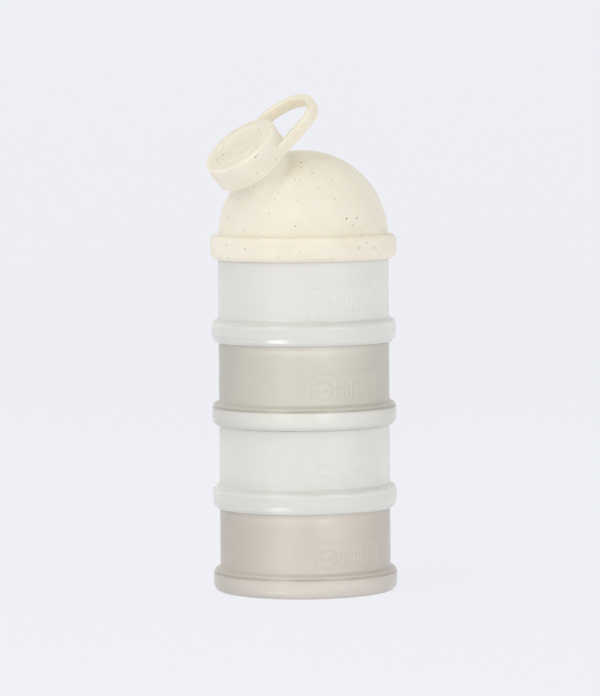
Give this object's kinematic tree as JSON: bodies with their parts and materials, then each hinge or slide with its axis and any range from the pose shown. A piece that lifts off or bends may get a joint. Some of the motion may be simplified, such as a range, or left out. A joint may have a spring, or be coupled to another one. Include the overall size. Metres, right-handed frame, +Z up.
{
  "type": "formula dispenser",
  "caption": "Stackable baby formula dispenser: screw-together frosted cups under a domed lid with a tilted pour spout and a screw cap with finger loop.",
  "frame": {"origin": "centre of the ring that the base cup stands on, on the surface it stands on", "axes": "+Z up along the axis of the stack; the spout leans towards -X and -Y, 37.3 degrees past -X"},
  "size_m": [0.0839, 0.083, 0.2211],
  "materials": {
    "taupe_plastic": "frosted translucent, taupe tint",
    "frosted_plastic": "frosted translucent, clear",
    "cream_plastic": "satin with fine dark fibre specks",
    "silicone": "matte translucent white"
  },
  "bodies": {
    "base": {"base_cup": "taupe_plastic", "seal_base_cup": "silicone"},
    "seal_under_cup_3": {"seal_cup_3": "silicone"},
    "cup_3": {"cup_3": "frosted_plastic"},
    "seal_under_cup_2": {"seal_cup_2": "silicone"},
    "cup_2": {"cup_2": "taupe_plastic"},
    "seal_under_cup_1": {"seal_cup_1": "silicone"},
    "cup_1": {"cup_1": "frosted_plastic"},
    "seal_under_lid": {"seal_lid": "silicone"},
    "lid": {"lid": "cream_plastic"},
    "seal_in_cap": {"seal_spout_cap": "silicone"},
    "spout_cap": {"spout_cap": "cream_plastic"}
  },
  "joints": [
    {"name": "cup_3_lift", "type": "slide", "parent": "base", "child": "seal_under_cup_3", "axis": [0, 0, 1], "range_m": [0, 0.008]},
    {"name": "cup_3_turn", "type": "hinge", "parent": "seal_under_cup_3", "child": "cup_3", "pos_m": [0, 0, 0.037], "axis": [0, 0, 1], "range_deg": [0, 240]},
    {"name": "cup_2_lift", "type": "slide", "parent": "cup_3", "child": "seal_under_cup_2", "axis": [0, 0, 1], "range_m": [0, 0.008]},
    {"name": "cup_2_turn", "type": "hinge", "parent": "seal_under_cup_2", "child": "cup_2", "pos_m": [0, 0, 0.074], "axis": [0, 0, 1], "range_deg": [0, 240]},
    {"name": "cup_1_lift", "type": "slide", "parent": "cup_2", "child": "seal_under_cup_1", "axis": [0, 0, 1], "range_m": [0, 0.008]},
    {"name": "cup_1_turn", "type": "hinge", "parent": "seal_under_cup_1", "child": "cup_1", "pos_m": [0, 0, 0.111], "axis": [0, 0, 1], "range_deg": [0, 240]},
    {"name": "lid_lift", "type": "slide", "parent": "cup_1", "child": "seal_under_lid", "axis": [0, 0, 1], "range_m": [0, 0.008]},
    {"name": "lid_turn", "type": "hinge", "parent": "seal_under_lid", "child": "lid", "pos_m": [0, 0, 0.148], "axis": [0, 0, 1], "range_deg": [0, 240]},
    {"name": "cap_lift", "type": "slide", "parent": "lid", "child": "seal_in_cap", "axis": [-0.5177, -0.3944, 0.7593], "range_m": [0, 0.009]},
    {"name": "cap_turn", "type": "hinge", "parent": "seal_in_cap", "child": "spout_cap", "pos_m": [-0.02174, -0.01656, 0.19029], "axis": [-0.5177, -0.3944, 0.7593], "range_deg": [0, 360]}
  ],
  "couplings": [
    {"joint": "cup_3_lift", "follows": "cup_3_turn", "m_per_rad": 0.0019098},
    {"joint": "cup_2_lift", "follows": "cup_2_turn", "m_per_rad": 0.0019098},
    {"joint": "cup_1_lift", "follows": "cup_1_turn", "m_per_rad": 0.0019098},
    {"joint": "lid_lift", "follows": "lid_turn", "m_per_rad": 0.0019098},
    {"joint": "cap_lift", "follows": "cap_turn", "m_per_rad": 0.0014323}
  ]
}
